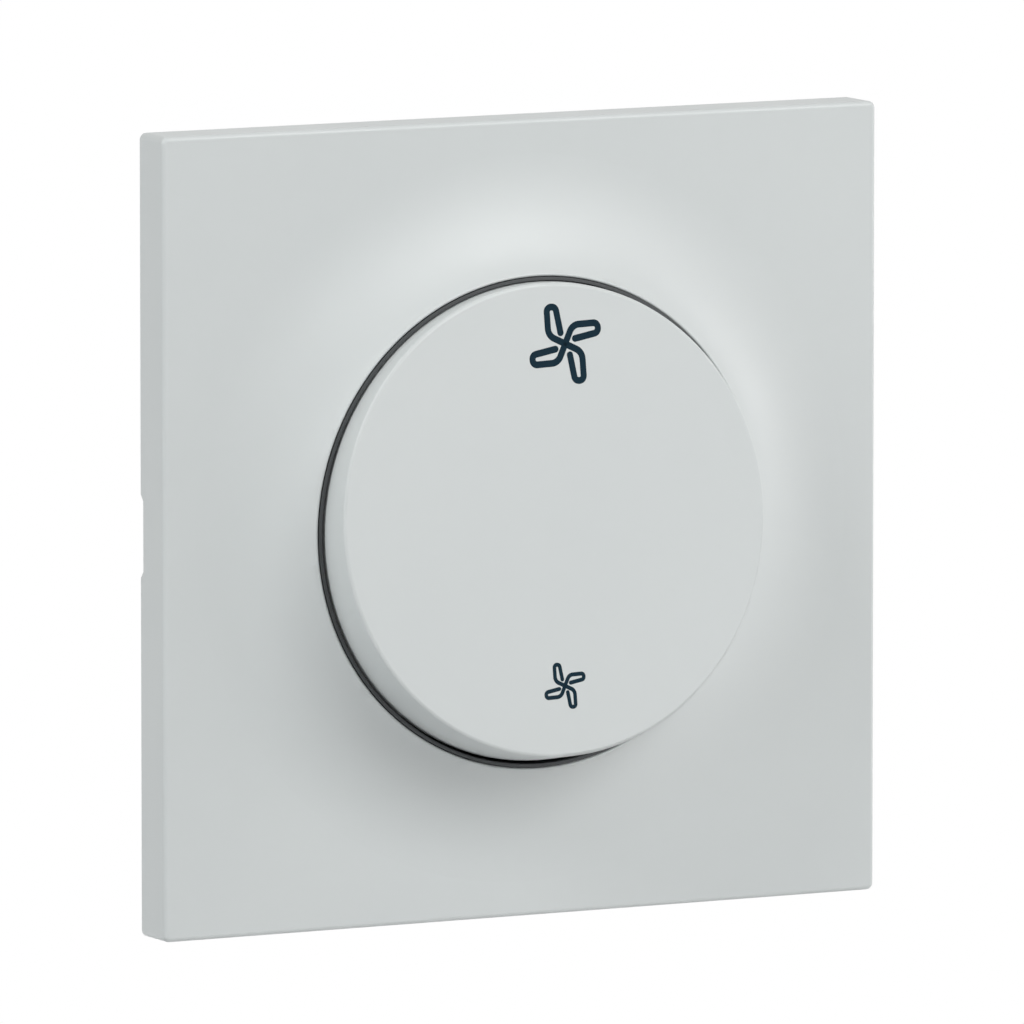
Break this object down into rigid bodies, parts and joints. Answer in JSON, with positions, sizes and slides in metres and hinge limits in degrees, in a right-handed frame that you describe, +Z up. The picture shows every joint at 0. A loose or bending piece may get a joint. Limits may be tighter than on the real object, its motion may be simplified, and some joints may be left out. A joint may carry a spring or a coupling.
{
  "type": "fan speed control switch",
  "caption": "Square white wall plate flaring up to a round tilting rocker with large and small fan signs; flush two-speed changeover switch with screwless terminals behind.",
  "frame": {"origin": "centre of the fixing slots, on the wall's face, which is the rear face of the yoke", "axes": "+Z up, +X to the right as seen from the room, +Y into the wall; the rocker faces -Y"},
  "size_m": [0.08, 0.0426, 0.08],
  "materials": {
    "white_plastic": "satin moulded plastic",
    "dark_grey_plastic": "fine matt moulded plastic",
    "light_grey_plastic": "matt moulded plastic",
    "zinc_plated_steel": "zinc-plated rolled sheet",
    "natural_acetal": "smooth",
    "spring_steel": "drawn",
    "tinned_copper": "tinned",
    "silver": "satin",
    "brass_sheet": "rolled",
    "red_plastic": "satin",
    "button_plastic": "satin",
    "sign_ink": "printed"
  },
  "bodies": {
    "switch_frame": {"cover_plate": "white_plastic", "carrier_frame": "dark_grey_plastic", "mounting_yoke": "zinc_plated_steel", "frame_rivets": "zinc_plated_steel", "housing_front": "light_grey_plastic", "housing_rear": "light_grey_plastic", "fixed_contact_high": "silver", "fixed_contact_low": "silver", "common_terminal": "brass_sheet", "high_speed_terminal": "brass_sheet", "low_speed_terminal": "brass_sheet", "high_speed_clamp_left": "spring_steel", "high_speed_clamp_right": "spring_steel", "common_clamp_left": "spring_steel", "common_clamp_right": "spring_steel", "low_speed_clamp_left": "spring_steel", "low_speed_clamp_right": "spring_steel"},
    "rocker": {"rocker_cap": "white_plastic", "rocker_carrier": "dark_grey_plastic", "plunger_spring": "spring_steel"},
    "plunger": {"plunger": "natural_acetal"},
    "blade": {"contact_blade": "tinned_copper", "blade_contact_upper": "silver", "blade_contact_lower": "silver"},
    "high_speed_button": {"high_speed_release": "button_plastic"},
    "common_button": {"common_release": "red_plastic"},
    "low_speed_button": {"low_speed_release": "button_plastic"}
  },
  "joints": [
    {"name": "rocker_tilt", "type": "hinge", "parent": "switch_frame", "child": "rocker", "pos_m": [0, -0.0048, 0], "axis": [1, 0, 0], "range_deg": [0, 10]},
    {"name": "blade_rock", "type": "hinge", "parent": "switch_frame", "child": "blade", "pos_m": [0, 0.01015, 0], "axis": [1, 0, 0], "range_deg": [-12, 0]},
    {"name": "plunger_slide", "type": "slide", "parent": "rocker", "child": "plunger", "axis": [0, -0.9962, 0.0872], "range_m": [0, 0.0008], "stiffness_N_per_m": 400, "springref_m": -0.004, "deforming": ["plunger_spring"]},
    {"name": "high_speed_press", "type": "slide", "parent": "switch_frame", "child": "high_speed_button", "axis": [0, -1, 0], "range_m": [0, 0.0014], "stiffness_N_per_m": 1500, "springref_m": -0.001, "deforming": ["high_speed_clamp_left", "high_speed_clamp_right"]},
    {"name": "common_press", "type": "slide", "parent": "switch_frame", "child": "common_button", "axis": [0, -1, 0], "range_m": [0, 0.0014], "stiffness_N_per_m": 1500, "springref_m": -0.001, "deforming": ["common_clamp_left", "common_clamp_right"]},
    {"name": "low_speed_press", "type": "slide", "parent": "switch_frame", "child": "low_speed_button", "axis": [0, -1, 0], "range_m": [0, 0.0014], "stiffness_N_per_m": 1500, "springref_m": -0.001, "deforming": ["low_speed_clamp_left", "low_speed_clamp_right"]}
  ],
  "couplings": [
    {"joint": "blade_rock", "follows": "rocker_tilt", "ratio": -1.2}
  ]
}
